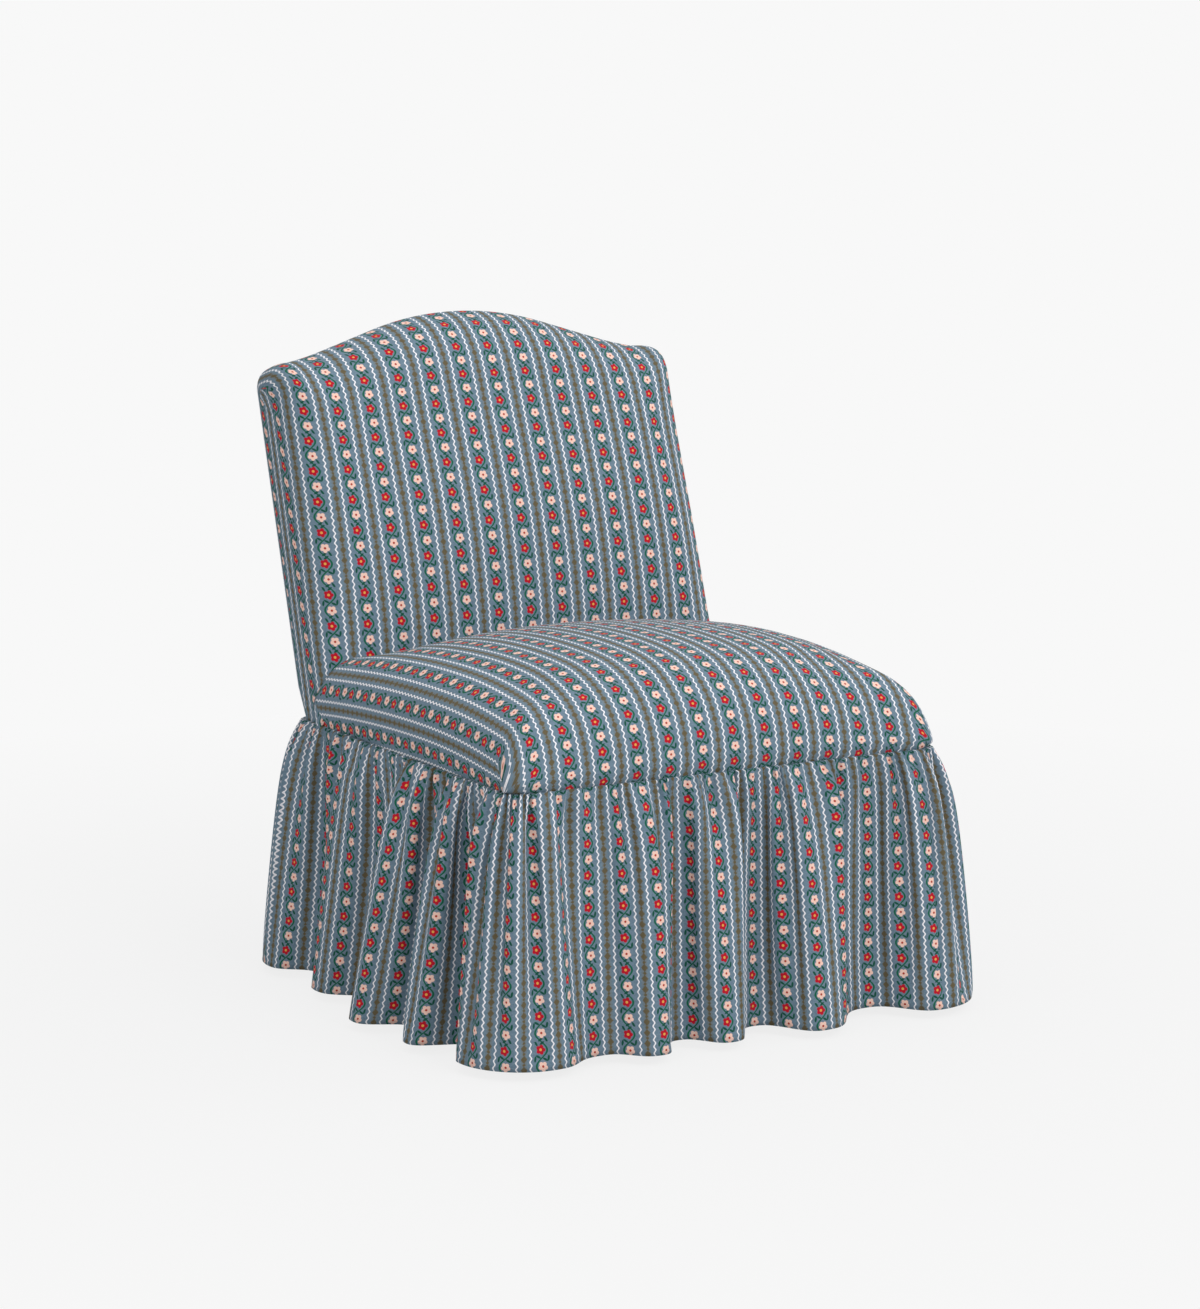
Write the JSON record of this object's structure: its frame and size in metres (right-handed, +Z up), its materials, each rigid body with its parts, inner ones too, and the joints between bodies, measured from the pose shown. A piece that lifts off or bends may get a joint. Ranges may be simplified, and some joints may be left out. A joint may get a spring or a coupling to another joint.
{
  "type": "slipper chair",
  "caption": "Armless upholstered slipper chair with a raked camel-shaped back, a crowned seat and a gathered skirt down to the floor.",
  "frame": {"origin": "on the floor, under the middle of the chair's bounding box", "axes": "+Z up; the chair faces -Y; +X is to the right as seen from the front"},
  "size_m": [0.8054, 0.8373, 0.87],
  "materials": {
    "frame_wood": "planed pale hardwood",
    "leg_wood": "stained hardwood, satin",
    "webbing": "woven jute",
    "hessian": "plain hessian",
    "foam": "upholstery foam",
    "batting": "polyester batting",
    "upholstery": "printed linen blend, blue-grey with floral stripes",
    "tack_card": "card strip",
    "dust_cloth": "black non-woven cloth",
    "glide": "dark nylon"
  },
  "bodies": {
    "root": {"front_seat_rail": "frame_wood", "rear_seat_rail": "frame_wood", "left_seat_rail": "frame_wood", "right_seat_rail": "frame_wood", "left_front_leg": "leg_wood", "right_front_leg": "leg_wood", "left_back_post": "leg_wood", "right_back_post": "leg_wood", "crest_rail": "frame_wood", "lower_back_rail": "frame_wood", "corner_blocks": "frame_wood", "foot_glides": "glide", "seat_webbing_lengthwise": "webbing", "seat_webbing_crosswise": "webbing", "back_webbing_upright": "webbing", "back_webbing_level": "webbing", "seat_hessian": "hessian", "seat_foam": "foam", "rail_batting": "batting", "seat_cover": "upholstery", "back_foam": "foam", "back_batting": "batting", "inside_back_cover": "upholstery", "outside_back_cover": "upholstery", "skirt_front": "upholstery", "skirt_right": "upholstery", "skirt_rear": "upholstery", "skirt_left": "upholstery", "skirt_tack_strips": "tack_card", "dust_cover": "dust_cloth"}
  },
  "joints": []
}
